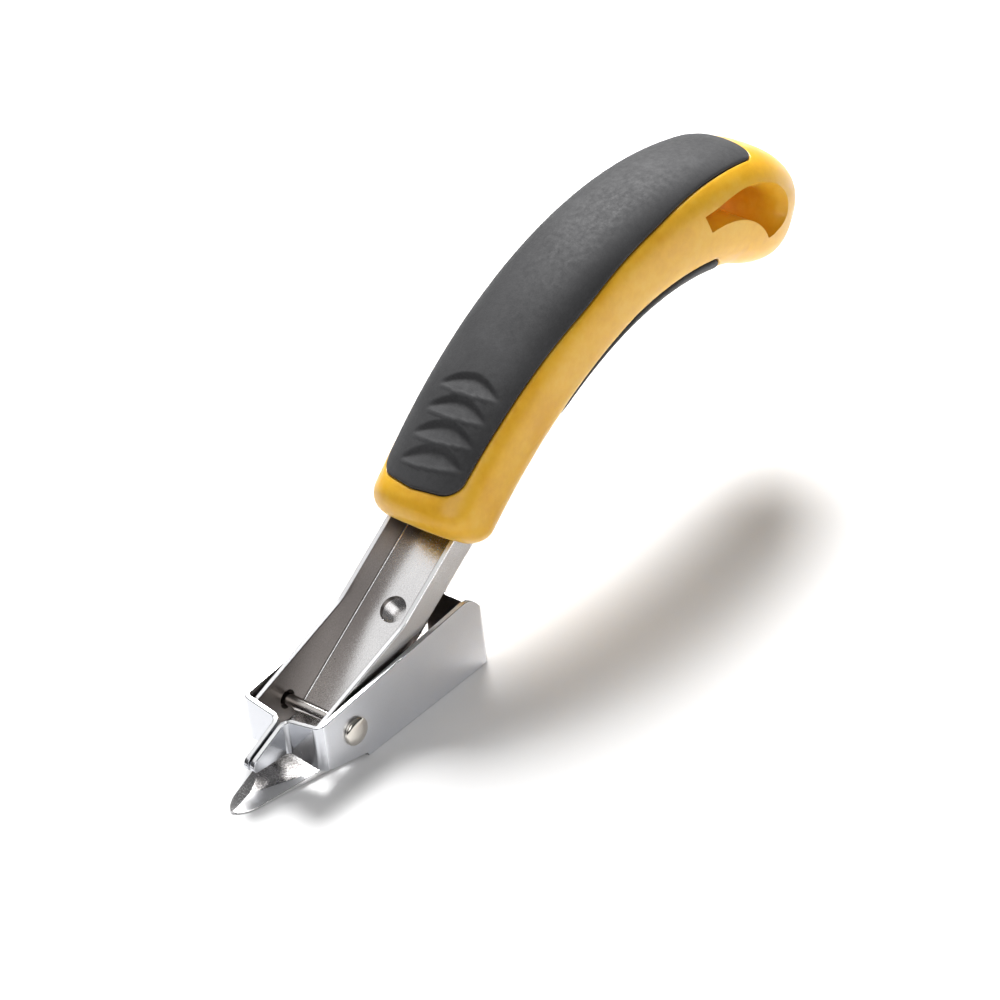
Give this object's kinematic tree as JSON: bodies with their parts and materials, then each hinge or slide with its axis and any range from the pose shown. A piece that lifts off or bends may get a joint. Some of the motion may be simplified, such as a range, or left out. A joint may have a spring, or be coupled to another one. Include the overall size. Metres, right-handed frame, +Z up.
{
  "type": "staple remover",
  "caption": "Lever-type staple remover: sprung sheet-steel jaw and wedge beak that close on a staple, on a curved two-colour handle with a hanging slot.",
  "frame": {"origin": "centre of the jaw's flat sole, on the surface the tool stands on", "axes": "+X towards the beak's tip, +Z up out of the sole, +Y towards the plate that carries the heel tab"},
  "size_m": [0.2018, 0.0306, 0.0852],
  "materials": {
    "chromed_sheet": "bright plated, fine scratches",
    "rivet_steel": "polished",
    "spring_steel": "satin",
    "yellow_plastic": "semi-gloss moulded",
    "black_rubber": "matt overmoulded"
  },
  "bodies": {
    "jaw": {"jaw_frame": "chromed_sheet", "pivot_rivet": "rivet_steel", "return_spring": "spring_steel", "spring_rivet": "rivet_steel"},
    "lever": {"lever_arm": "chromed_sheet", "handle_body": "yellow_plastic", "top_grip": "black_rubber", "bottom_grip": "black_rubber"}
  },
  "joints": [
    {"name": "lever_pivot", "type": "hinge", "parent": "jaw", "child": "lever", "pos_m": [0.02335, 0, 0.0093], "axis": [0, -1, 0], "range_deg": [0, 14], "stiffness_Nm_per_rad": 0.5, "springref_deg": -28.65, "deforming": ["return_spring"]}
  ]
}
